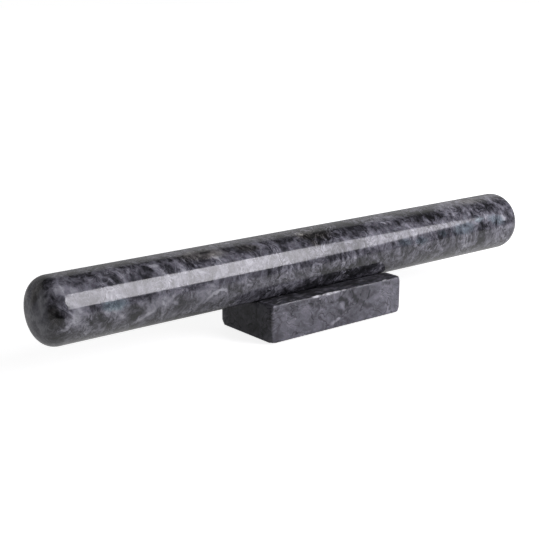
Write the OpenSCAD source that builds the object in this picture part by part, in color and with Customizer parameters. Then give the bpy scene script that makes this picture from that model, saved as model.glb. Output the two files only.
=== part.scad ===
// Handle-less marble rolling pin, lying in the groove of its own marble stand.
// Lengths are in millimetres. +X runs along the pin and +Z points up. The origin
// lies on the worktop, under the middle of the pin.

/* [Rolling pin] */
// Length of the pin over its two domed ends
pin_length = 404; // [250:1:520]
// Diameter of the pin's straight barrel
pin_diameter = 42; // [30:0.5:60]
// Radius of the rounding between the barrel and each end face
end_rounding = 11.25; // [4:0.25:14]
// Radius of the shallow dome that each end face is ground to
end_dome = 40; // [32:1:90]

/* [Stand] */
// Length of the stand, along the pin
stand_length = 115; // [70:1:200]
// Width of the stand, across the pin
stand_width = 55; // [50:1:100]
// Height of the stone block, from its underside to its top face
stand_height = 25.5; // [16:0.5:50]
// Radius that the block's level edges are eased to
stand_easing = 1.3; // [0.5:0.1:2]
// Radius of the block's four upright corners
stand_corner = 2.5; // [1:0.1:5]
// Distance from the pin's middle to the stand's middle, along the pin
stand_offset = 7.5; // [-30:0.5:30]

/* [Groove] */
// How far the pin sinks below the stand's top face
seat_depth = 3.5; // [1:0.1:5]
// How much larger the groove's radius is than the pin's, so that the pin lies on one line
groove_clearance = 3; // [1:0.5:6]
// Gap left between the bottom of the groove and the pin
seat_gap = 0.3; // [0.1:0.1:0.8]

/* [Foot pads] */
// Diameter of each self-adhesive pad under the stand
pad_diameter = 10; // [6:0.5:12]
// Thickness of each pad
pad_thickness = 1; // [0.5:0.1:3]
// Distance from the edge of each pad to the stand's sides
pad_margin = 6; // [3:0.5:8]

/* [Hidden] */
$fn = 96;
// Extra length on a cutter, so that it passes right through what it cuts
overrun = 1;

pin_radius = pin_diameter / 2;
// Centre of the rounding's circle, and of the dome's circle on the pin's axis
dome_centre = pin_length / 2 - end_dome;
rounding_height = pin_radius - end_rounding;
barrel_end = dome_centre + sqrt(pow(end_dome - end_rounding, 2) - pow(rounding_height, 2));
// Angle from the axis at which the dome meets the rounding without a step
dome_angle = asin(rounding_height / (end_dome - end_rounding));

stand_top = pad_thickness + stand_height;
groove_radius = pin_radius + groove_clearance;
groove_floor = stand_top - seat_depth - seat_gap;
pin_height = stand_top - seat_depth + pin_radius;

pad_x = stand_length / 2 - pad_margin - pad_diameter / 2;
pad_y = stand_width / 2 - pad_margin - pad_diameter / 2;

stone = "#55555a";
worn_stone = "#5f5f66";
foam = "#202022";

// Wedge of the dome's disc, from the axis up to where the rounding takes over.
// X is the distance from the axis and Y runs along it.
module dome_wedge() {
    reach = 2 * end_dome;
    intersection() {
        translate([0, dome_centre]) circle(r = end_dome, $fn = 256);
        polygon([
            [0, dome_centre],
            [0, dome_centre + reach],
            [reach * sin(dome_angle), dome_centre + reach * cos(dome_angle)]
        ]);
    }
}

// One half of the pin's turned profile, from its middle to one end
module half_profile() {
    square([pin_radius, barrel_end]);
    intersection() {
        translate([rounding_height, barrel_end]) circle(r = end_rounding);
        translate([0, barrel_end]) square([pin_radius, end_rounding]);
    }
    dome_wedge();
}

// Solid turned and polished pin
module rolling_pin() {
    color(stone)
    translate([0, 0, pin_height])
    rotate([0, 90, 0])
    rotate_extrude($fn = 128) {
        half_profile();
        mirror([0, 1]) half_profile();
    }
}

// Rectangle with rounded corners, centred on the origin
module eased_rectangle(width, height, radius) {
    square([width - 2 * radius, height], center = true);
    square([width, height - 2 * radius], center = true);
    for (x = [-1, 1], y = [-1, 1])
        translate([x * (width / 2 - radius), y * (height / 2 - radius)])
            circle(r = radius);
}

// Block with rounded upright corners and eased level edges, centred on the origin
module eased_block(length, width, height, radius, corner) {
    intersection() {
        linear_extrude(height, center = true)
            eased_rectangle(length, width, corner);
        rotate([90, 0, 0])
            linear_extrude(width, center = true)
                eased_rectangle(length, height, radius);
        rotate([90, 0, 90])
            linear_extrude(length, center = true)
                eased_rectangle(width, height, radius);
    }
}

// Sawn block with the groove that the pin lies in, open at both ends
module stand() {
    color(worn_stone)
    translate([stand_offset, 0, 0])
    difference() {
        translate([0, 0, pad_thickness + stand_height / 2])
            eased_block(stand_length, stand_width, stand_height, stand_easing, stand_corner);
        translate([0, 0, groove_floor + groove_radius])
            rotate([0, 90, 0])
                cylinder(h = stand_length + 2 * overrun, r = groove_radius, center = true, $fn = 128);
    }
}

// Thin round pad stuck to the underside near one corner. end is -1 at the left
// and 1 at the right, and side is -1 at the front and 1 at the back.
module foot_pad(end, side) {
    color(foam)
    translate([stand_offset + end * pad_x, side * pad_y, 0])
        cylinder(h = pad_thickness, d = pad_diameter);
}

rolling_pin();
stand();
foot_pad(-1, -1);  // foot_pad_front_left
foot_pad(1, -1);  // foot_pad_front_right
foot_pad(-1, 1);  // foot_pad_back_left
foot_pad(1, 1);  // foot_pad_back_right
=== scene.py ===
"""A solid rolling pin of dark grey marble, lying in the groove of its marble stand."""
from math import asin, cos, pi, radians, sin, sqrt, tan

import bmesh
import bpy
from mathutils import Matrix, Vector


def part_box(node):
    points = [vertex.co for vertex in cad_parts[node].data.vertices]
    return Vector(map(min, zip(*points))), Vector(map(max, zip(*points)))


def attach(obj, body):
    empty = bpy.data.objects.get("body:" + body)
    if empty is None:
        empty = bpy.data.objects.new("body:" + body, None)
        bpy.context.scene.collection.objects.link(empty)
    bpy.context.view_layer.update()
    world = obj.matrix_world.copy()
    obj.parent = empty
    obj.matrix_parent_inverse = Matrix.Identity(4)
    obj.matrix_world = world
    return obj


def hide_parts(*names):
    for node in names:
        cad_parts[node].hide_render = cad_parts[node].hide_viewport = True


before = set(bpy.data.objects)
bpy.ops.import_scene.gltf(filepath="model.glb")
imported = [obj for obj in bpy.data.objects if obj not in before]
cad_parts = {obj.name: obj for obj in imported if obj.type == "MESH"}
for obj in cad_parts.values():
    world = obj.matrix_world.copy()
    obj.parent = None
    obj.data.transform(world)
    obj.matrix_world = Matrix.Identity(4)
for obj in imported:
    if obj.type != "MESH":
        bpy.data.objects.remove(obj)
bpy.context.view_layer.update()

MM = 0.001

# Sizes read from the frame's own boxes
PIN_LOW, PIN_HIGH = (Vector(corner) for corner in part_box("rolling_pin"))
STAND_LOW, STAND_HIGH = (Vector(corner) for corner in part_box("stand"))
PIN_LENGTH = PIN_HIGH.x - PIN_LOW.x
PIN_RADIUS = (PIN_HIGH.z - PIN_LOW.z) / 2
PIN_CENTRE = (PIN_LOW + PIN_HIGH) / 2
# Sizes that repeat the solids' own. The groove is cut 3 mm wider in radius than the pin.
END_ROUNDING = 11.25 * MM
END_DOME = 40 * MM
STAND_EASING = 1.3 * MM
STAND_CORNER = 2.5 * MM
GROOVE_RADIUS = PIN_RADIUS + 3 * MM
SEAT_GAP = 0.3 * MM
# How far the cut edge of a foam pad is rounded
PAD_EDGE = 0.25 * MM
PADS = ("foot_pad_front_left", "foot_pad_front_right", "foot_pad_back_left", "foot_pad_back_right")

# How finely the pieces are meshed
PIN_SEGMENTS = 192
BARREL_RINGS = 60
ROUNDING_STEPS = 24
DOME_STEPS = 14
STAND_GRID = 1.2 * MM
STAND_MERGE = 0.02 * MM
PAD_SEGMENTS = 64
PAD_EDGE_STEPS = 5
# The marble of both pieces: its IOR, and the size of its single crystals in millimetres
MARBLE_IOR = 1.55
GRAIN = 0.9

# The camera, from a fit of the pin's and the stand's outlines to the photograph
CAMERA_FROM_PIN = Vector((-469.7, -553.4, 187.9)) * MM
CAMERA_HEADING = radians(38.5)
CAMERA_DIP = radians(15.1)
CAMERA_LENS = 74.2
SENSOR = 36.0

# Light, where 1 is a white card that renders as white: the lamp, the dark parts of the room, and a fill from
# low behind that only matt surfaces see
SOFTBOX_LEVEL = 7.3
DUSK_LEVEL = 0.06
BACK_FILL = 1.2
# The softbox in metres and radians: its distance from the pin, how high it hangs and half its height
SOFTBOX_DISTANCE = 1.2
SOFTBOX_RISE = radians(33.7)
SOFTBOX_HALF_HEIGHT = 0.523
# Its outline, as metres along the pin and shares of the half height, worked back from the pin's pale strip
SOFTBOX_OUTLINE = (
    (0.453, 1.0), (0.44, 0.9), (0.432, 0.8), (0.418, 0.6), (0.334, 0.44), (0.238, 0.25), (0.185, 0.0),
    (0.24, -0.25), (0.336, -0.44), (0.42, -0.6), (0.434, -0.8), (0.443, -0.9), (0.456, -1.0),
    (1.045, -1.0), (1.07, -0.85), (1.19, -0.84), (1.264, -0.55), (1.328, -0.34), (1.39, -0.27),
    (1.465, 0.02), (1.465, 0.3), (1.39, 0.49), (1.328, 0.57), (1.2, 0.72), (1.1, 0.82), (1.07, 0.86),
    (1.045, 1.0))
# How bright its cloth is along the pin, from the middle (0) to the end of this span (1). Two cloths meet at
# 1 m, where it is duller, and the far end fades.
SOFTBOX_SPAN = 1.5
SOFTBOX_FALL = (
    (0.60, 1.0), (0.63, 0.94), (0.67, 0.77), (0.686, 0.5), (0.71, 0.53), (0.74, 0.66), (0.9, 0.66),
    (0.94, 0.45), (0.98, 0.25))
# How far the floor runs each way, in metres
FLOOR_REACH = 6.0

# Marks in the pin's stone, placed after the photograph. Each starts and ends at so many millimetres along
# the pin and degrees up from its front, has a radius in millimetres, and is paler (above 0) or darker (below
# 0) than the stone round it. Broad shades and bands come first, then patches, then veins and spots.
# Two of the broad bands, from -40 and -25 mm to 60 mm at -38 and -28 degrees, darken the pin's underside
# over the stand: painted shade, not stone.
PIN_TONES_AND_PAINTED_SHADE = (
    ((-182, 68, -165, 60), 7, -0.09), ((-180, -1, -120, -1), 3, 0.03), ((-180, 74, -120, 74), 8, -0.04),
    ((-180, 77, -120, 77), 6, -0.04), ((-165, 55, -120, 55), 9, 0.02), ((-150, 70, -60, 69), 3.5, -0.06),
    ((-149, -4, -144, -17), 7, -0.14), ((-120, -12, -75, -20), 10, -0.03), ((-120, 0, -60, 0), 4, 0.045),
    ((-120, 45, -75, 45), 4, -0.03), ((-80, -14, -30, -14), 9, -0.04), ((-66, -5, -50, -12), 7, 0.03),
    ((-45, -1, 60, -1), 3.5, 0.04), ((-45, 8, 60, 5), 16, -0.08), ((-45, 76, 60, 76), 7, -0.06),
    ((-45, 80, 60, 80), 14, -0.09), ((-40, -38, 60, -38), 13, -0.06), ((-30, 6, 50, 6), 5, -0.03),
    ((-25, -28, 60, -28), 16, -0.06), ((-20, -10, 10, -10), 7, 0.04), ((-2, -12, 18, -12), 7, 0.04),
    ((-2, 58, 12, 58), 9, -0.11), ((30, -12, 48, -10), 7, 0.02), ((30, 62, 44, 58), 7, -0.07),
    ((70, -30, 122, -30), 13, -0.03), ((75, -15, 180, -15), 16, -0.03), ((75, 58, 120, 58), 9, -0.08),
    ((75, 68, 120, 68), 4, -0.05), ((95, 46, 120, 46), 7, -0.08), ((96, 58, 118, 58), 8, -0.06),
    ((120, 68, 185, 68), 5, -0.05), ((130, 82, 185, 82), 10, 0.04), ((168, 68, 170, 48), 8, -0.13),
    ((182, 60, 188, 58), 7, -0.07))
PIN_PATCHES = (
    ((-196, 22, -195, 2), 5, -0.1), ((-194, -2, -190, -12), 3, -0.09), ((-192, 50, -184, 42), 6, 0.16),
    ((-190, 17, -190, 16), 4, -0.05), ((-187, 44, -184, 43), 4, 0.05), ((-183, 12, -185, -8), 4.5, 0.18),
    ((-184, 10, -178, 8), 5, 0.04), ((-182, 66, -178, 64), 4, 0.06), ((-181, -17, -180, -16), 4, 0.08),
    ((-180, 50, -179, 50), 4, -0.05), ((-179, 10, -177, 9), 4, 0.06), ((-177, -10, -172, -28), 3, -0.07),
    ((-175, 12, -172, -3), 4, -0.1), ((-171, -37, -170, -37), 4, 0.05), ((-169, 56, -166, 54), 5, 0.06),
    ((-168, -14, -163, -34), 3, -0.08), ((-165, 6, -152, 4), 5, 0.1), ((-157, 58, -155, 48), 6, -0.09),
    ((-146, -36, -136, -20), 3, 0.14), ((-144, 72, -138, 70), 5, -0.11), ((-142, 8, -138, 5), 4, -0.08),
    ((-138, 50, -131, 52), 6, -0.11), ((-136, -8, -133, -16), 4, 0.16), ((-130, -2, -118, -12), 5, 0.12),
    ((-128, 60, -123, 44), 4, 0.15), ((-120, 58, -117, 42), 5, -0.11), ((-111, 64, -109, 42), 4, 0.13),
    ((-110, 8, -95, 8), 4, -0.05), ((-105, 62, -103, 44), 5, -0.11), ((-95, 55, -90, 50), 4, -0.08),
    ((-84, 55, -76, 62), 5, 0.12), ((-66, -28, -45, -30), 5, -0.03), ((-57, 60, -54, 44), 6, -0.11),
    ((-47, 66, -40, 60), 6, -0.06), ((-29, -6, -20, -14), 5, 0.05), ((-16, -12, -6, -16), 4, 0.05),
    ((-16, 62, -8, 52), 6, -0.05), ((-12, 72, -8, 73), 3, 0.15), ((0, 46, 12, 44), 6, -0.09),
    ((14, -22, 22, -24), 4, -0.08), ((17, 62, 22, 55), 6, -0.06), ((19, -5, 26, -13), 3.5, -0.06),
    ((25, -27, 29, -44), 3, -0.08), ((28, 9, 34, 7), 4, 0.13), ((35, -30, 42, -32), 6, -0.08),
    ((35, 45, 42, 45), 5, -0.09), ((38, -26, 43, -32), 4, -0.06), ((42, -30, 50, -34), 4, 0.05),
    ((47, -8, 49, -10), 4, 0.17), ((52, 60, 53, 48), 4, -0.08), ((57, -26, 63, -50), 3, -0.08),
    ((68, 55, 75, 50), 5, -0.07), ((98, 52, 112, 50), 6, 0.04), ((104, 12, 107, 8), 4, -0.07),
    ((112, 12, 111, 6), 4, -0.07), ((124, 16, 146, 16), 6, 0.09), ((134, -14, 138, -24), 3.4, 0.12),
    ((135, -3, 134, -14), 3.4, 0.1), ((134, 26, 146, 24), 4, -0.04), ((138, -24, 147, -24), 3.4, 0.14),
    ((138, 10, 152, 8), 5, 0.05), ((142, -10, 143, -12), 5, -0.04), ((152, 10, 163, 8), 6, -0.09),
    ((152, 60, 160, 48), 5, -0.09), ((154, 46, 159, 40), 3, -0.1), ((160, 26, 180, 24), 5, -0.05),
    ((162, 28, 168, 22), 4, 0.17), ((162, 64, 165, 55), 2.5, 0.1), ((170, 66, 170, 48), 4, -0.06),
    ((171, -12, 173, -20), 4, 0.1), ((173, 10, 171, 5), 4, -0.06), ((177, 21, 181, 19), 3, 0.15),
    ((180, 10, 183, 6), 4, -0.1), ((185, -2, 191, 0), 4, 0.08))
PIN_VEINS = (
    ((-197, -28, -186, -4), 2, 0.22), ((-187, -8, -184, -14), 1.6, 0.24), ((-170, -16, -166, -40), 2, 0.1),
    ((-166, -1, -163, -8), 2, 0.14), ((-165, 38, -162, 60), 1.6, 0.09), ((-157, -4, -154, -25), 2, 0.12),
    ((-146, -37, -132, -14), 1.8, 0.14), ((-128, -2, -126, -8), 1.6, 0.2),
    ((-120, -10, -116, -12), 1.5, 0.15), ((-104, -38, -99, -18), 2, 0.1),
    ((-103, -16, -99, -20), 2.2, -0.1), ((-97, -27, -90, -10), 2, 0.2), ((-96, -28, -91, -16), 1.5, -0.15),
    ((-95, 9, -88, 4), 1.5, 0.15), ((-90, -10, -85, -5), 2, 0.25), ((-85, -5, -79, -8), 2, 0.26),
    ((-81, -9, -78, -24), 1.6, 0.12), ((-70, 58, -67, 54), 1.6, 0.2), ((-25, 44, -24, 41), 1.6, 0.14),
    ((-22, 14, -22, 2), 1.4, 0.16), ((-10, 3, -9, 0), 1.5, 0.16), ((16, 28, 18, -8), 1.7, 0.14),
    ((27, 4, 28, 3), 1.8, 0.22), ((61, 60, 63, 57), 1.5, 0.3), ((66, 62, 68, 57), 1.5, 0.18),
    ((70, -4, 70, -18), 2, 0.11), ((81, 46, 82, 40), 2, 0.15), ((85, -24, 87, -28), 1.5, 0.14),
    ((96, -12, 97, -16), 1.6, 0.16), ((112, -18, 114, -21), 2, 0.12), ((122, 62, 129, 49), 1.5, 0.14),
    ((129, 49, 132, 38), 1.5, 0.12), ((145, 40, 147, 41), 1.6, 0.17), ((179, 21, 181, 18), 1.8, 0.18),
    ((180, 12, 182, 10), 1.8, -0.12))
# Places where the pin's stone turns from purple grey to a pale sea green, given in the same way
PIN_TINTS = (
    ((-166, 8, -152, 6), 5, 0.9), ((70, 12, 80, 10), 4, 0.7), ((87, 8, 95, 6), 4, 0.7),
    ((111, 14, 116, 12), 3, 0.8), ((125, 14, 146, 14), 6, 0.7), ((150, 28, 157, 26), 4, 0.7),
    ((165, 24, 179, 12), 5, 0.7))
# Places where it turns to a warm olive grey
PIN_WARMTH = (
    ((-108, 70, -74, 62), 7, 0.9), ((-64, 66, -50, 58), 5, 0.8), ((-14, 68, 12, 60), 7, 1.0),
    ((-6, 46, -2, 40), 3, 0.7), ((150, 78, 165, 76), 6, 0.6))
# From here on a mark has its start and end as places in millimetres. These are on the pin's left end.
CAP_MARKS = (
    ((-204, -8, 40), (-200, 6, 34), 15, 0.225), ((-203, 2, 52), (-199, 8, 58), 8, 0.1),
    ((-203, -5, 44), (-204, 2, 40), 3, 0.08), ((-202, 2, 30), (-200, -6, 27), 4, 0.07),
    ((-202, -1, 41), (-200, -5, 34.5), 4.5, -0.06), ((-201, -11, 46), (-200, -10, 56), 6, 0.15),
    ((-200, -6.5, 34), (-201.5, -4, 39.5), 4.5, -0.07), ((-199.5, -9.5, 53), (-200, -11, 50), 4.5, 0.1),
    ((-199.5, -13.5, 48.5), (-199, -14, 48), 4, 0.06), ((-199.5, -4.5, 58), (-199.5, -4, 58.5), 3.5, 0.05),
    ((-199, -15, 38), (-197, -16, 32), 4, -0.06), ((-199, -8, 55.5), (-200, -11.5, 49.5), 5, 0.1),
    ((-199, -4.6, 58.6), (-199, -4, 59), 4, 0.05), ((-199, -9.5, 31.6), (-197, -12, 30), 4, -0.05),
    ((-198, -3, 60), (-198, -11, 57), 3, -0.03), ((-197, -12, 56), (-197, -8, 60), 3, 0.04),
    ((-196, -18.6, 43.5), (-193, -20, 47.5), 4.5, -0.1), ((-196, -18.5, 49), (-195, -19, 48.5), 3.5, 0.06),
    ((-195, 2, 63), (-192, 0, 65), 5, -0.1), ((-194, -17, 34), (-193, -17.5, 34), 4, -0.05),
    ((-193, -9, 62), (-196, -7, 61.5), 4, -0.09), ((-193, -20.3, 44.5), (-196, -18, 43), 3, -0.06),
    ((-192, -19, 36.3), (-191, -19.5, 36), 4, -0.09), ((-191, -13.5, 60), (-190, -14, 60), 4, 0.08),
    ((-190, -5.5, 64.5), (-195, -4, 63), 4, -0.05), ((-189, -21, 42.6), (-188, -21, 43.5), 3, 0.1),
    ((-189, -20.3, 39), (-190, -20, 38), 3, -0.1), ((-186, -21, 42), (-198, -14.5, 34.5), 3, 0.17))
# Warm olive places on that end
CAP_WARMTH = (((-196, -4, 62), (-201, -1, 50), 5, 0.7), ((-197, -17, 49), (-196, -18, 43), 5, 0.7))
# Marks in the stand's stone. The first darkens the whole left end face: painted shade, not stone.
STAND_MARKS_AND_PAINTED_SHADE = (
    ((-50, -24, 14), (-50, 24, 14), 14, -0.09), ((-40, -27, 18), (-30, -27, 10), 5, 0.05),
    ((-26, -27, 2.6), (-22, -27, 1.7), 1.5, 0.3), ((-20, -27, 25), (-16, -27, 20), 1.6, -0.08),
    ((-18, -27, 21), (-4, -27, 17.4), 1.6, -0.08), ((1, -27, 5), (10, -27, 7.4), 2.0, 0.26),
    ((5, -27, 20), (10, -27, 21), 2.4, -0.12), ((9, -27, 16), (11, -27, 16), 2.5, 0.08),
    ((10, -27, 21), (15, -27, 17), 2.4, -0.12), ((14, -27, 27), (24, -27, 16), 2.9, -0.08),
    ((14, -27, 11), (6, -27, 13), 2.4, -0.1), ((15, -27, 17), (15, -27, 12), 2.4, -0.12),
    ((20, -27, 20), (32, -27, 12), 2.9, -0.08), ((28, -27, 13), (42, -27, 9), 2.9, -0.08),
    ((45, -27, 20), (58, -27, 16), 6, 0.04))
# Pale places on the stand, where 1 is quite bare: fresh stone where its edges are chipped, painted highlight
# along its front edges and front left corner, and scratches on its top
STAND_WEAR_AND_PAINTED_HIGHLIGHT = (
    ((-50, -13.5, 25.6), (-50, -11.5, 25), 1.0, 0.5), ((-49.9, -27.4, 25), (-49.9, -27.4, 21), 0.9, 0.5),
    ((-49.9, -27.4, 21), (-49.9, -27.4, 4), 0.7, 0.25), ((-48, -27.4, 26.3), (-18, -27.4, 26.3), 0.7, 0.3),
    ((-45, -25, 26.5), (-38, -22, 26.5), 0.8, 0.4), ((-40, -20, 26.5), (-33, -17, 26.5), 0.8, 0.35),
    ((-34, -25, 26.5), (-27, -24, 26.5), 0.7, 0.4), ((-25, -22, 26.5), (-16, -20, 26.5), 0.8, 0.2),
    ((-15.5, -27.3, 26.4), (-9, -27.3, 26.4), 1.7, 1.0), ((-10, -20, 26.5), (0, -21, 26.5), 0.8, 0.2),
    ((-7, -27.4, 26.3), (-5.5, -27.4, 26.3), 0.8, 0.8), ((-4.5, -27.3, 26.4), (2, -27.3, 26.4), 1.9, 1.0),
    ((3, -27.4, 26.3), (8, -27.4, 26.3), 1.5, 1.0), ((10, -27.3, 26.4), (14, -27.3, 26.4), 1.0, 0.8),
    ((15, -23, 26.5), (25, -22, 26.5), 0.8, 0.25), ((16, -27.4, 26.3), (46, -27.4, 26.3), 0.7, 0.3),
    ((30, -18, 26.5), (40, -19, 26.5), 0.8, 0.2), ((47, -27.5, 26.4), (52, -26, 26.5), 1.0, 0.6))
# Knocks and chips along the stand's edges: middle, radius and depth, in millimetres
STAND_CHIPS = (
    ((-48.5, -27.0, 26.5), 5, 1.1), ((-50, -27.5, 24), 2, 0.4), ((-13.5, -27.5, 26.5), 2.2, 0.5),
    ((-10, -27.5, 26.5), 1.8, 0.35), ((-3, -27.5, 26.5), 2.8, 0.6), ((0.5, -27.5, 26.5), 2, 0.4),
    ((6, -27.5, 26.5), 2.4, 0.5), ((12.5, -27.5, 26.5), 2, 0.3), ((51, -26.5, 26.5), 2, 0.35),
    ((65, -27.5, 26.5), 3, 0.6), ((-50, -12.5, 25.5), 3, 0.7), ((-50, -27.5, 1), 3.5, 1.0),
    ((65, -27.5, 1), 3, 0.8), ((-50, 27.5, 26.5), 4, 1), ((65, 27.5, 1), 4.5, 1.4),
    ((30, 27.5, 26.5), 3, 0.6), ((-20, 27.5, 26.5), 2.2, 0.4), ((-50, 27.5, 1), 3.5, 1.0),
    ((65, 12.5, 25.5), 2.5, 0.5), ((65, -12.5, 25.5), 2, 0.4))


def hex_colour(text):
    """An sRGB hex colour as linear red, green, blue and alpha."""
    parts = [int(text[at:at + 2], 16) / 255 for at in (1, 3, 5)]
    linear = [part / 12.92 if part <= 0.04045 else ((part + 0.055) / 1.055) ** 2.4 for part in parts]
    return (*linear, 1.0)


def add(tree, kind, links=None, stops=None, **settings):
    """Adds one node. links sets its inputs, by name or number, to a value or to another node's output."""
    made = tree.nodes.new(kind)
    for name, value in settings.items():
        setattr(made, name, value)
    for place, colour in stops or ():
        ends = made.color_ramp.elements
        stop = ends[0] if place == stops[0][0] else ends[-1] if place == stops[-1][0] else ends.new(place)
        stop.position = place
        stop.color = colour
    for name, value in (links or {}).items():
        if isinstance(value, bpy.types.NodeSocket):
            tree.links.new(value, made.inputs[name])
        else:
            made.inputs[name].default_value = value
    return made


def new_material(name):
    """An empty node material, its nodes and its output."""
    made = bpy.data.materials.new(name)
    made.use_nodes = True
    made.node_tree.nodes.clear()
    return made, made.node_tree, made.node_tree.nodes.new("ShaderNodeOutputMaterial")


# Materials

def on_barrel(marks):
    """Marks that are given by millimetres along the pin and degrees up from its front, as places."""
    across, height = PIN_RADIUS / MM, PIN_CENTRE.z / MM
    placed = []
    for (x, up, to_x, to_up), radius, amount in marks:
        start, end = (Vector((along, -across * cos(radians(turn)), height + across * sin(radians(turn))))
                      for along, turn in ((x, up), (to_x, to_up)))
        placed.append((start, end, radius, amount))
    return placed


def in_place(marks):
    """Marks whose start and end are given as places."""
    return [(Vector(start), Vector(end), radius, amount) for start, end, radius, amount in marks]


def sum_of_marks(tree, place, marks):
    """The sum of soft ellipsoid marks. Each is its start, end and radius in millimetres and its strength."""
    total = None
    for start, end, radius, amount in marks:
        along = end - start
        lean = tuple((along if along.length > 0 else Vector((1, 0, 0))).to_track_quat("X", "Z").to_euler())
        inside = add(tree, "ShaderNodeMapping", {
            "Vector": place, "Location": (start + end) / 2, "Rotation": lean,
            "Scale": (along.length / 2 + radius, radius, radius)}, vector_type="TEXTURE")
        ball = add(tree, "ShaderNodeTexGradient", {0: inside.outputs[0]}, gradient_type="SPHERICAL")
        soft = add(tree, "ShaderNodeMapRange", {
            "Value": ball.outputs[1], "From Min": 0.0, "From Max": 0.6,
            "To Min": 0.0, "To Max": amount}, interpolation_type="SMOOTHSTEP")
        total = soft.outputs[0] if total is None else add(
            tree, "ShaderNodeMath", {0: total, 1: soft.outputs[0]}, operation="ADD").outputs[0]
    return total


def warped(tree, place, size, push, detail):
    """place bent by a noise of that size, in millimetres, by up to about half of push."""
    bend = add(tree, "ShaderNodeTexNoise", {"Vector": place, "Scale": 1 / size, "Detail": detail})
    centred = add(tree, "ShaderNodeVectorMath", {0: bend.outputs["Color"], 1: (0.5, 0.5, 0.5)},
                  operation="SUBTRACT")
    pushed = add(tree, "ShaderNodeVectorMath", {0: centred.outputs[0], 3: float(push)}, operation="SCALE")
    return add(tree, "ShaderNodeVectorMath", {0: place, 1: pushed.outputs[0]}, operation="ADD").outputs[0]


def ridges(tree, place, size, width):
    """Thin curling lines, 1 on the line and 0 off it, where a noise of that size passes its middle value."""
    hills = add(tree, "ShaderNodeTexNoise", {"Vector": place, "Scale": 1 / size, "Detail": 2.0,
                                              "Roughness": 0.45})
    off = add(tree, "ShaderNodeMath", {0: hills.outputs[0], 1: 0.5}, operation="SUBTRACT")
    off = add(tree, "ShaderNodeMath", {0: off.outputs[0]}, operation="ABSOLUTE")
    return add(tree, "ShaderNodeMapRange", {
        "Value": off.outputs[0], "From Min": 0.0, "From Max": width,
        "To Min": 1.0, "To Max": 0.0}, interpolation_type="SMOOTHSTEP").outputs[0]


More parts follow.
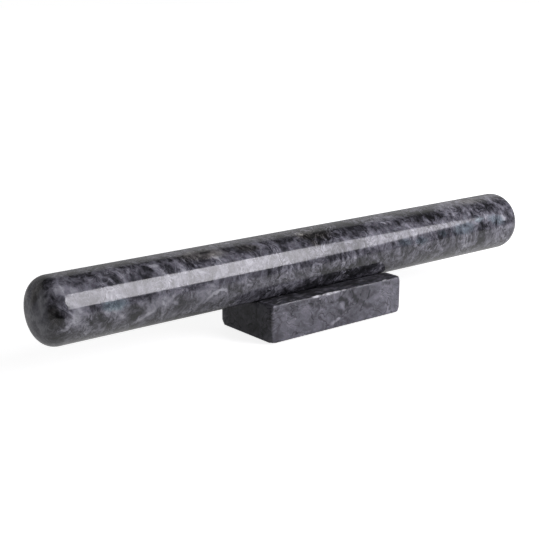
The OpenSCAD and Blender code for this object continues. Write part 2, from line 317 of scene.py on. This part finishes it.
def marble_pattern(tree, seed, foliation, marks, tints, base_level, contrast, seam_depth):
    """The colour of dark grey marble: mottling, placed marks, pale wisps, dark seams and fine grain.

    foliation is the direction, in the part's own frame, across which the wisps are fine. tints are pairs of
    the colour that the stone is multiplied by and the marks where that happens. The place in millimetres is
    given back too.
    """
    place = add(tree, "ShaderNodeTexCoord").outputs["Object"]
    in_mm = add(tree, "ShaderNodeVectorMath", {0: place, 3: 1000.0}, operation="SCALE").outputs[0]
    curled = warped(tree, in_mm, 4, 5, 3.0)
    moved = add(tree, "ShaderNodeVectorMath", {0: in_mm, 1: seed}, operation="ADD").outputs[0]
    flow = warped(tree, warped(tree, moved, 30, 16, 1.0), 9, 9, 1.0)
    lean = Vector(foliation).normalized().to_track_quat("X", "Z").to_euler()
    laid = add(tree, "ShaderNodeVectorRotate", {"Vector": flow, "Rotation": tuple(lean)},
               rotation_type="EULER_XYZ", invert=True).outputs[0]

    # Mottling 6 to 8 mm across, drawn out a little along the foliation, with a crackle of 2.4 mm in it
    drawn = add(tree, "ShaderNodeVectorMath", {0: laid, 1: (1 / 6, 1 / 8, 1 / 8)}, operation="MULTIPLY")
    mottle = add(tree, "ShaderNodeTexNoise", {"Vector": drawn.outputs[0], "Scale": 1.0, "Detail": 5.0,
                                               "Roughness": 0.6})
    level = add(tree, "ShaderNodeMapRange", {
        "Value": mottle.outputs[0], "From Min": 0.0, "From Max": 1.0,
        "To Min": base_level - contrast / 2, "To Max": base_level + contrast / 2}, clamp=False).outputs[0]
    crackle = add(tree, "ShaderNodeTexNoise", {"Vector": curled, "Scale": 1 / 2.4, "Detail": 4.0,
                                                "Roughness": 0.6})
    small = add(tree, "ShaderNodeMapRange", {
        "Value": crackle.outputs[0], "From Min": 0.0, "From Max": 1.0,
        "To Min": -0.24 * contrast, "To Max": 0.24 * contrast}, clamp=False)
    level = add(tree, "ShaderNodeMath", {0: level, 1: small.outputs[0]}, operation="ADD").outputs[0]
    level = add(tree, "ShaderNodeMath", {0: level, 1: sum_of_marks(tree, curled, marks)},
                operation="ADD").outputs[0]

    # Pieces of the stone 13 mm across that broke and healed, each a little lighter or darker, and dark seams
    cells = add(tree, "ShaderNodeTexVoronoi", {"Vector": flow, "Scale": 1 / 13})
    shift = add(tree, "ShaderNodeMapRange", {"Value": cells.outputs["Color"], "To Min": -0.035,
                                              "To Max": 0.035})
    level = add(tree, "ShaderNodeMath", {0: level, 1: shift.outputs[0]}, operation="ADD").outputs[0]
    level = add(tree, "ShaderNodeMath", {0: ridges(tree, flow, 12, 0.02), 1: -seam_depth, 2: level},
                operation="MULTIPLY_ADD").outputs[0]

    # Pale wisps 2 mm wide and 6 mm long, thick in some parts and rare in others, with threads among them
    curly = warped(tree, laid, 6, 8, 2.0)
    stretched = add(tree, "ShaderNodeVectorMath", {0: curly, 1: (1 / 1.8, 1 / 6, 1 / 6)},
                    operation="MULTIPLY")
    wisp = add(tree, "ShaderNodeTexNoise", {"Vector": stretched.outputs[0], "Scale": 1.0, "Detail": 2.0,
                                             "Roughness": 0.5})
    patch = add(tree, "ShaderNodeTexNoise", {"Vector": moved, "Scale": 1 / 20, "Detail": 2.0})
    patch_mask = add(tree, "ShaderNodeMapRange", {"Value": patch.outputs[0], "From Min": 0.42,
                                                   "From Max": 0.62, "To Min": 0.15, "To Max": 1.0})
    lift = add(tree, "ShaderNodeMapRange", {"Value": wisp.outputs[0], "From Min": 0.47, "From Max": 0.7,
                                             "To Min": 0.0, "To Max": 1.0})
    wispy = add(tree, "ShaderNodeMath", {0: lift.outputs[0], 1: patch_mask.outputs[0]}, operation="MULTIPLY")
    level = add(tree, "ShaderNodeMath", {0: wispy.outputs[0], 1: 0.26 * contrast, 2: level},
                operation="MULTIPLY_ADD").outputs[0]
    threads = add(tree, "ShaderNodeVectorMath", {0: curly, 1: (1 / 0.75, 1.0, 1.0)}, operation="MULTIPLY")
    thread = add(tree, "ShaderNodeMath", {0: ridges(tree, threads.outputs[0], 5.5, 0.045),
                                          1: patch_mask.outputs[0]}, operation="MULTIPLY")
    level = add(tree, "ShaderNodeMath", {0: thread.outputs[0], 1: 0.22 * contrast, 2: level},
                operation="MULTIPLY_ADD").outputs[0]

    # A few single pale crystals about 1 mm across
    dots = add(tree, "ShaderNodeTexVoronoi", {"Vector": curled, "Scale": 1 / 7})
    which = add(tree, "ShaderNodeMapRange", {"Value": dots.outputs["Color"], "From Min": 0.5,
                                              "From Max": 0.9, "To Min": 0.0, "To Max": 0.22})
    dot = add(tree, "ShaderNodeMapRange", {
        "Value": dots.outputs["Distance"], "From Min": 0.04, "From Max": 0.13,
        "To Min": 1.0, "To Max": 0.0}, interpolation_type="SMOOTHSTEP")
    level = add(tree, "ShaderNodeMath", {0: dot.outputs[0], 1: which.outputs[0], 2: level},
                operation="MULTIPLY_ADD").outputs[0]

    base = add(tree, "ShaderNodeValToRGB", {0: level}, stops=(
        (0.30, hex_colour("#161618")), (0.42, hex_colour("#303035")), (0.50, hex_colour("#4f4e55")),
        (0.58, hex_colour("#6d6c75")), (0.72, hex_colour("#95949e")), (0.90, hex_colour("#c3c3ca"))))
    colour = base.outputs[0]
    for cast, places in tints:
        colour = add(tree, "ShaderNodeMix", {
            "Factor": sum_of_marks(tree, curled, places), 6: colour, 7: hex_colour(cast)},
            data_type="RGBA", blend_type="MULTIPLY").outputs[2]

    # Fine grain, where single crystals are a little lighter or darker
    grain = add(tree, "ShaderNodeTexNoise", {"Vector": in_mm, "Scale": 1 / GRAIN, "Detail": 2.0})
    shade = add(tree, "ShaderNodeMapRange", {"Value": grain.outputs[0], "From Min": 0.3, "From Max": 0.7,
                                              "To Min": 0.9, "To Max": 1.1})
    grained = add(tree, "ShaderNodeVectorMath", {0: colour, 3: shade.outputs[0]}, operation="SCALE")
    return in_mm, grained.outputs[0]


def polished_marble():
    """Solid marble, turned and polished until lamps show in it as sharp shapes."""
    made, tree, output = new_material("polished_marble")
    marks = on_barrel(PIN_TONES_AND_PAINTED_SHADE + PIN_PATCHES + PIN_VEINS) + in_place(CAP_MARKS)
    tints = (("#d3ebec", on_barrel(PIN_TINTS)), ("#f4f0dc", on_barrel(PIN_WARMTH) + in_place(CAP_WARMTH)))
    in_mm, colour = marble_pattern(tree, seed=(310.0, 40.0, 85.0), foliation=(1.0, 0.35, 0.1), marks=marks,
                                   tints=tints, base_level=0.55, contrast=0.75, seam_depth=0.04)
    # The polish is a little uneven, in smears 18 mm across
    smear = add(tree, "ShaderNodeTexNoise", {"Vector": in_mm, "Scale": 1 / 18, "Detail": 4.0})
    roughness = add(tree, "ShaderNodeMapRange", {"Value": smear.outputs[0], "To Min": 0.05, "To Max": 0.13})
    shader = add(tree, "ShaderNodeBsdfPrincipled", {"Base Color": colour, "Roughness": roughness.outputs[0],
                                                     "IOR": MARBLE_IOR})
    tree.links.new(shader.outputs[0], output.inputs[0])
    return made


def honed_marble():
    """The same stone sawn and rubbed down, so that it stays matt and its grain shows as a fine tooth."""
    made, tree, output = new_material("honed_marble")
    in_mm, colour = marble_pattern(tree, seed=(20.0, 130.0, 45.0), foliation=(0.5, 0.2, 1.0),
                                   marks=in_place(STAND_MARKS_AND_PAINTED_SHADE), tints=(),
                                   base_level=0.567, contrast=0.33, seam_depth=0.12)
    # The top face and the groove are darkened in streaks 4 mm long: painted shade, for the pin's shadow on
    # them
    facing = add(tree, "ShaderNodeSeparateXYZ", {0: add(tree, "ShaderNodeTexCoord").outputs["Normal"]})
    streaks = add(tree, "ShaderNodeVectorMath", {0: in_mm, 1: (1 / 4, 1 / 2.5, 1 / 2.5)},
                  operation="MULTIPLY")
    streak = add(tree, "ShaderNodeTexNoise", {"Vector": streaks.outputs[0], "Scale": 1.0, "Detail": 5.0,
                                               "Roughness": 0.65})
    streaked_painted_shade = add(tree, "ShaderNodeMapRange", {"Value": streak.outputs[0], "From Min": 0.46, "From Max": 0.64,
                                              "To Min": 0.08, "To Max": 1.1})
    painted_top_shade = add(tree, "ShaderNodeMapRange", {"Value": facing.outputs["Z"], "From Min": 0.3, "From Max": 0.95,
                                             "To Min": 1.0, "To Max": streaked_painted_shade.outputs[0]})
    colour = add(tree, "ShaderNodeVectorMath", {0: colour, 3: painted_top_shade.outputs[0]}, operation="SCALE").outputs[0]
    # Near white in crumbs: fresh stone where the edges are chipped, and painted highlight along the front
    # edges
    crumbs = add(tree, "ShaderNodeTexNoise", {"Vector": in_mm, "Scale": 1 / 1.1, "Detail": 2.0})
    crumbly = add(tree, "ShaderNodeMapRange", {"Value": crumbs.outputs[0], "From Min": 0.32,
                                                "From Max": 0.46, "To Min": 0.0, "To Max": 1.0})
    bare_or_painted_highlight = add(tree, "ShaderNodeMath", {0: sum_of_marks(tree, in_mm, in_place(STAND_WEAR_AND_PAINTED_HIGHLIGHT)),
                                        1: crumbly.outputs[0]}, operation="MULTIPLY")
    colour = add(tree, "ShaderNodeMix", {"Factor": bare_or_painted_highlight.outputs[0], 6: colour, 7: hex_colour("#e8e8ec")},
                 data_type="RGBA").outputs[2]
    tooth = add(tree, "ShaderNodeTexNoise", {"Vector": in_mm, "Scale": 1 / GRAIN, "Detail": 3.0})
    bump = add(tree, "ShaderNodeBump", {"Height": tooth.outputs[0], "Strength": 0.25, "Distance": 0.15 * MM})
    roughness = add(tree, "ShaderNodeMapRange", {"Value": tooth.outputs[0], "To Min": 0.38, "To Max": 0.6})
    shader = add(tree, "ShaderNodeBsdfPrincipled", {"Base Color": colour, "Roughness": roughness.outputs[0],
                                                     "IOR": MARBLE_IOR, "Normal": bump.outputs[0]})
    tree.links.new(shader.outputs[0], output.inputs[0])
    return made


def pad_foam():
    """Closed-cell foam die-cut into discs, near black, with pores drawn at 0.5 mm."""
    made, tree, output = new_material("pad_foam")
    place = add(tree, "ShaderNodeTexCoord").outputs["Object"]
    pores = add(tree, "ShaderNodeTexVoronoi", {"Vector": place, "Scale": 1 / (0.5 * MM)})
    colour = add(tree, "ShaderNodeValToRGB", {0: pores.outputs["Distance"]},
                 stops=((0.0, hex_colour("#161617")), (0.6, hex_colour("#2b2b2d"))))
    bump = add(tree, "ShaderNodeBump", {"Height": pores.outputs["Distance"], "Strength": 0.4,
                                         "Distance": 0.1 * MM})
    shader = add(tree, "ShaderNodeBsdfPrincipled", {"Base Color": colour.outputs[0], "Roughness": 0.85,
                                                     "IOR": 1.5, "Normal": bump.outputs[0]})
    tree.links.new(shader.outputs[0], output.inputs[0])
    return made


# Pieces

def place_mesh(name, mesh_data, material, body, node):
    """Turns a finished bmesh into a smooth piece that rides on a body and stands for a CAD node."""
    bmesh.ops.recalc_face_normals(mesh_data, faces=mesh_data.faces)
    mesh = bpy.data.meshes.new(name)
    mesh_data.to_mesh(mesh)
    mesh_data.free()
    mesh.shade_smooth()
    mesh.set_sharp_from_angle(angle=radians(40))
    mesh.materials.append(material)
    piece = bpy.data.objects.new(name, mesh)
    bpy.context.scene.collection.objects.link(piece)
    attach(piece, body)
    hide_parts(node)
    return piece


def arc(centre, radius, start, stop, steps):
    """Points on an arc, from start to stop in radians, both ends included."""
    turns = [start + (stop - start) * step / steps for step in range(steps + 1)]
    return [(centre[0] + radius * cos(turn), centre[1] + radius * sin(turn)) for turn in turns]


def turned_solid(outline, segments, along, centre):
    """A bmesh of revolution. outline runs from pole to pole as (distance along, distance from the axis)."""
    solid = bmesh.new()
    across = [axis for axis in (0, 1, 2) if axis != along]
    rings = []
    for position, radius in outline:
        ring = []
        for step in range(segments if radius > 0 else 1):
            turn = 2 * pi * step / segments
            corner = Vector(centre)
            corner[along] += position
            corner[across[0]] += radius * cos(turn)
            corner[across[1]] += radius * sin(turn)
            ring.append(solid.verts.new(corner))
        rings.append(ring)
    for first, second in zip(rings, rings[1:]):
        for step in range(segments):
            after = (step + 1) % segments
            corners = [first[step % len(first)], first[after % len(first)],
                       second[after % len(second)], second[step % len(second)]]
            solid.faces.new(list(dict.fromkeys(corners)))
    return solid


def rolling_pin(material):
    """The pin's turned profile: barrel, rounding and shallow domed ends that meet without a step."""
    dome_centre = PIN_LENGTH / 2 - END_DOME
    rounding_height = PIN_RADIUS - END_ROUNDING
    barrel_end = dome_centre + sqrt((END_DOME - END_ROUNDING) ** 2 - rounding_height ** 2)
    meeting = asin(rounding_height / (END_DOME - END_ROUNDING))
    right_end = arc((barrel_end, rounding_height), END_ROUNDING, pi / 2, meeting, ROUNDING_STEPS)
    right_end += arc((dome_centre, 0.0), END_DOME, meeting, 0.0, DOME_STEPS)[1:]
    right_end[-1] = (PIN_LENGTH / 2, 0.0)
    left_end = [(-position, radius) for position, radius in reversed(right_end)]
    # A ring close to each end of the barrel keeps what the barrel mirrors straight right up to the rounding
    last = barrel_end - 0.2 * MM
    barrel = [(-last + 2 * last * ring / BARREL_RINGS, PIN_RADIUS) for ring in range(BARREL_RINGS + 1)]
    solid = turned_solid(left_end + barrel + right_end, PIN_SEGMENTS, 0, PIN_CENTRE)
    return place_mesh("marble_pin", solid, material, "pin", "rolling_pin")


def grid_lines(half, easing, spacing, extra=()):
    """Places of a cube's grid lines from -half to half: fine over each eased edge, even between them."""
    inner = half - easing
    count = max(1, round(2 * inner / spacing))
    lines = [-inner + 2 * inner * step / count for step in range(count + 1)]
    lines += [side * (inner + easing * tan(radians(turn))) for side in (-1, 1) for turn in (11, 22, 33, 45)]
    # A line that comes close to an extra one gives way to it
    lines = [line for line in lines if all(abs(line - other) > 0.25 * spacing for other in extra)]
    return sorted(lines + list(extra))


def stand(material):
    """The stand as a fine grid over an eased block, let down into the groove and worn along its edges."""
    half = (STAND_HIGH - STAND_LOW) / 2
    middle = (STAND_HIGH + STAND_LOW) / 2
    groove_centre = PIN_LOW.z - SEAT_GAP + GROOVE_RADIUS
    groove_edge = sqrt(GROOVE_RADIUS ** 2 - (groove_centre - STAND_HIGH.z) ** 2)
    lines = (grid_lines(half.x, STAND_EASING, STAND_GRID),
             grid_lines(half.y, STAND_EASING, STAND_GRID, (-groove_edge, groove_edge)),
             grid_lines(half.z, STAND_EASING, STAND_GRID))
    counts = [len(line) for line in lines]
    inner = half - Vector((STAND_EASING,) * 3)
    solid = bmesh.new()
    corners = {}

    def corner(key):
        """The grid's corner at key, eased, cut down to the groove and worn."""
        if key not in corners:
            on_cube = Vector(lines[axis][key[axis]] for axis in range(3))
            core = Vector(max(-inner[axis], min(inner[axis], on_cube[axis])) for axis in range(3))
            spot = core + (on_cube - core).normalized() * STAND_EASING if on_cube != core else on_cube
            # Every upright corner is rounded except the crisp one at the front left
            turn = STAND_EASING if spot.x < 0 and spot.y < 0 else STAND_CORNER
            bend = half - Vector((turn,) * 3)
            past = Vector((max(abs(spot.x) - bend.x, 0), max(abs(spot.y) - bend.y, 0)))
            if min(past) > 0 and past.length > turn:
                past *= turn / past.length
                spot.x = (bend.x + past.x) * (1 if spot.x > 0 else -1)
                spot.y = (bend.y + past.y) * (1 if spot.y > 0 else -1)
            spot += middle
            if abs(spot.y) < GROOVE_RADIUS:
                groove_height = groove_centre - sqrt(GROOVE_RADIUS ** 2 - spot.y ** 2)
                spot.z = min(spot.z, groove_height)
            # A chip has its full depth over the middle third of its area and runs out at its radius
            for chip, radius, depth in STAND_CHIPS:
                gone = 1 - ((spot - Vector(chip) * MM).length / (radius * MM)) ** 2
                if gone > 0:
                    spot += (middle - spot).normalized() * min(1.0, 1.5 * gone) * depth * MM
            corners[key] = solid.verts.new(spot)
        return corners[key]

    for axis in range(3):
        one, two = (other for other in range(3) if other != axis)
        for end in (0, counts[axis] - 1):
            for i in range(counts[one] - 1):
                for j in range(counts[two] - 1):
                    keys = []
                    for step_one, step_two in ((0, 0), (1, 0), (1, 1), (0, 1)):
                        key = [0, 0, 0]
                        key[axis], key[one], key[two] = end, i + step_one, j + step_two
                        keys.append(tuple(key))
                    solid.faces.new([corner(key) for key in keys])
    bmesh.ops.remove_doubles(solid, verts=solid.verts, dist=STAND_MERGE)
    return place_mesh("marble_stand", solid, material, "stand", "stand")


def foot_pad(node, material):
    """A disc of foam whose cut edge is very slightly rounded."""
    low, high = (Vector(corner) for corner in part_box(node))
    radius = (high.x - low.x) / 2
    half = (high.z - low.z) / 2
    outline = [(-half, 0.0), (-half, radius / 2)]
    outline += arc((-half + PAD_EDGE, radius - PAD_EDGE), PAD_EDGE, pi, pi / 2, PAD_EDGE_STEPS)
    outline += arc((half - PAD_EDGE, radius - PAD_EDGE), PAD_EDGE, pi / 2, 0.0, PAD_EDGE_STEPS)
    outline += [(half, radius / 2), (half, 0.0)]
    solid = turned_solid(outline, PAD_SEGMENTS, 2, (low + high) / 2)
    return place_mesh(node.replace("foot_pad", "foam_pad"), solid, material, "stand", node)


# Stage, light and camera

def stage_mesh(name, corners, material):
    """One flat face that isn't part of the object."""
    mesh = bpy.data.meshes.new(name)
    mesh.from_pydata(corners, [], [tuple(range(len(corners)))])
    mesh.materials.append(material)
    made = bpy.data.objects.new(name, mesh)
    bpy.context.scene.collection.objects.link(made)
    return made


def floor():
    """A plain white floor. The camera sees it as white with the object's faint shadow on it.

    The polished stone mirrors a white sheet on it that ends in front of the pin. The sheet is dimmer behind
    the pin, under the object and to the left, as the photograph's lower reflections show.
    """
    made, tree, output = new_material("white_floor")
    path = add(tree, "ShaderNodeLightPath")
    spot = add(tree, "ShaderNodeNewGeometry").outputs["Position"]
    parts = add(tree, "ShaderNodeSeparateXYZ", {0: spot})
    away = add(tree, "ShaderNodeVectorMath", {0: spot}, operation="LENGTH")
    # Painted shade: the white glow that the camera sees is turned down near the object, so that its shadow
    # shows
    camera_glow_with_painted_shade = add(tree, "ShaderNodeMapRange", {"Value": away.outputs["Value"], "From Min": 0.1, "From Max": 0.5,
                                             "To Min": 0.84, "To Max": 1.0}, interpolation_type="SMOOTHSTEP")
    sheet = add(tree, "ShaderNodeMapRange", {"Value": parts.outputs["Y"], "From Min": -0.215,
                                              "From Max": -0.185, "To Min": 0.04, "To Max": 1.0})
    # Painted shadow: the glow that the stone mirrors is turned down behind the pin, under the object and to
    # the left
    behind = add(tree, "ShaderNodeMapRange", {"Value": parts.outputs["Y"], "From Min": -0.02,
                                               "From Max": 0.06, "To Min": 0.75, "To Max": 0.28})
    left = add(tree, "ShaderNodeMapRange", {"Value": parts.outputs["X"], "From Min": -0.4, "From Max": -0.2,
                                             "To Min": 0.4, "To Max": 1.0})
    squeezed = add(tree, "ShaderNodeVectorMath", {0: spot, 1: (1.0, 2.5, 0.0)}, operation="MULTIPLY")
    beside = add(tree, "ShaderNodeVectorMath", {0: squeezed.outputs[0]}, operation="LENGTH")
    painted_shadow_under_object = add(tree, "ShaderNodeMapRange", {"Value": beside.outputs["Value"], "From Min": 0.05,
                                              "From Max": 0.14, "To Min": 0.2, "To Max": 1.0})
    mirrored_glow_with_painted_shadow = path.outputs["Is Glossy Ray"]
    for part in (behind, sheet, painted_shadow_under_object, left):
        mirrored_glow_with_painted_shadow = add(tree, "ShaderNodeMath", {0: mirrored_glow_with_painted_shadow, 1: part.outputs[0]},
                       operation="MULTIPLY").outputs[0]
    strength = add(tree, "ShaderNodeMath", {0: camera_glow_with_painted_shade.outputs[0], 1: path.outputs["Is Camera Ray"],
                                            2: mirrored_glow_with_painted_shadow}, operation="MULTIPLY_ADD")
    paint = hex_colour("#cfcfcf")
    for ray, shade in (("Is Diffuse Ray", "#9c9c9c"), ("Is Glossy Ray", "#2c2c2c")):
        paint = add(tree, "ShaderNodeMix", {"Factor": path.outputs[ray], 6: paint, 7: hex_colour(shade)},
                    data_type="RGBA").outputs[2]
    matt = add(tree, "ShaderNodeBsdfDiffuse", {"Color": paint})
    glow = add(tree, "ShaderNodeEmission", {"Color": (1, 1, 1, 1), "Strength": strength.outputs[0]})
    both = add(tree, "ShaderNodeAddShader", {0: matt.outputs[0], 1: glow.outputs[0]})
    tree.links.new(both.outputs[0], output.inputs[0])
    near, far = -FLOOR_REACH, FLOOR_REACH
    return stage_mesh("floor", [(near, near, 0), (far, near, 0), (far, far, 0), (near, far, 0)], made)


def softbox():
    """A big soft lamp to the front and right. The polished barrel shows it as one long pale strip."""
    made, tree, output = new_material("softbox_cloth")
    spot = add(tree, "ShaderNodeNewGeometry")
    front = add(tree, "ShaderNodeMath", {0: 1.0, 1: spot.outputs["Backfacing"]}, operation="SUBTRACT")
    parts = add(tree, "ShaderNodeSeparateXYZ", {0: spot.outputs["Position"]})
    span = add(tree, "ShaderNodeMapRange", {"Value": parts.outputs["X"], "From Min": 0.0,
                                             "From Max": SOFTBOX_SPAN})
    fall = add(tree, "ShaderNodeValToRGB", {0: span.outputs[0]},
               stops=[(place, (level, level, level, 1.0)) for place, level in SOFTBOX_FALL])
    cloth = add(tree, "ShaderNodeMath", {0: fall.outputs[0], 1: SOFTBOX_LEVEL}, operation="MULTIPLY")
    strength = add(tree, "ShaderNodeMath", {0: front.outputs[0], 1: cloth.outputs[0]}, operation="MULTIPLY")
    glow = add(tree, "ShaderNodeEmission", {"Color": hex_colour("#fbf9ff"), "Strength": strength.outputs[0]})
    tree.links.new(glow.outputs[0], output.inputs[0])
    centre = Vector((0.0, -SOFTBOX_DISTANCE * cos(SOFTBOX_RISE),
                     PIN_CENTRE.z + SOFTBOX_DISTANCE * sin(SOFTBOX_RISE)))
    up = Vector((0.0, sin(SOFTBOX_RISE), cos(SOFTBOX_RISE)))
    corners = [centre + Vector((x, 0, 0)) + up * share * SOFTBOX_HALF_HEIGHT
               for x, share in reversed(SOFTBOX_OUTLINE)]
    lamp = stage_mesh("softbox", corners, made)
    lamp.visible_camera = False
    return lamp


def surroundings():
    """A white studio to the camera. The stone sees dusk, and a pale backdrop behind up to about 43 degrees.

    Matt surfaces also see a fill low behind, which shows the back of the object and leaves the front alone.
    """
    world = bpy.data.worlds.new("studio")
    world.use_nodes = True
    tree = world.node_tree
    tree.nodes.clear()
    path = add(tree, "ShaderNodeLightPath")
    towards = add(tree, "ShaderNodeTexCoord")
    parts = add(tree, "ShaderNodeSeparateXYZ", {0: towards.outputs["Generated"]})
    below = add(tree, "ShaderNodeMapRange", {"Value": parts.outputs["Z"], "From Min": 0.66,
                                              "From Max": 0.705, "To Min": 1.0, "To Max": 0.0})
    rising = add(tree, "ShaderNodeMapRange", {"Value": parts.outputs["Z"], "From Min": 0.05,
                                               "From Max": 0.4, "To Min": 0.45, "To Max": 1.0})
    behind = add(tree, "ShaderNodeMapRange", {"Value": parts.outputs["Y"], "From Min": 0.1,
                                               "From Max": 0.35, "To Min": 0.0, "To Max": 1.0})
    aside = add(tree, "ShaderNodeMapRange", {"Value": parts.outputs["X"], "From Min": -0.4,
                                              "From Max": 0.6, "To Min": 0.26, "To Max": 0.5})
    backdrop = below.outputs[0]
    for part in (behind, rising):
        backdrop = add(tree, "ShaderNodeMath", {0: backdrop, 1: part.outputs[0]},
                       operation="MULTIPLY").outputs[0]
    level = add(tree, "ShaderNodeMath", {0: backdrop, 1: aside.outputs[0], 2: DUSK_LEVEL},
                operation="MULTIPLY_ADD")
    low = add(tree, "ShaderNodeMapRange", {"Value": parts.outputs["Z"], "From Min": 0.1, "From Max": 0.4,
                                            "To Min": BACK_FILL, "To Max": 0.0})
    back = add(tree, "ShaderNodeMapRange", {"Value": parts.outputs["Y"], "From Min": 0.35, "From Max": 0.8,
                                             "To Min": 0.0, "To Max": 1.0})
    fill = add(tree, "ShaderNodeMath", {0: low.outputs[0], 1: back.outputs[0]}, operation="MULTIPLY")
    level = add(tree, "ShaderNodeMath", {0: fill.outputs[0], 1: path.outputs["Is Diffuse Ray"],
                                         2: level.outputs[0]}, operation="MULTIPLY_ADD")
    dim = add(tree, "ShaderNodeBackground", {"Color": (1, 1, 1, 1), "Strength": level.outputs[0]})
    white = add(tree, "ShaderNodeBackground", {"Color": (1, 1, 1, 1), "Strength": 1.0})
    mixed = add(tree, "ShaderNodeMixShader", {0: path.outputs["Is Camera Ray"], 1: dim.outputs[0],
                                               2: white.outputs[0]})
    output = add(tree, "ShaderNodeOutputWorld", {0: mixed.outputs[0]})
    output.is_active_output = True
    bpy.context.scene.world = world


def camera():
    """The photograph's view."""
    data = bpy.data.cameras.new("camera")
    data.lens = CAMERA_LENS
    data.sensor_width = SENSOR
    made = bpy.data.objects.new("camera", data)
    made.location = PIN_CENTRE + CAMERA_FROM_PIN
    made.rotation_euler = (pi / 2 - CAMERA_DIP, 0, -CAMERA_HEADING)
    bpy.context.scene.collection.objects.link(made)
    bpy.context.scene.camera = made


def build():
    """Makes the whole scene."""
    camera()
    surroundings()
    softbox()
    floor()
    rolling_pin(polished_marble())
    stand(honed_marble())
    foam = pad_foam()
    for node in PADS:
        foot_pad(node, foam)
    bpy.context.scene.view_settings.view_transform = "Standard"


build()
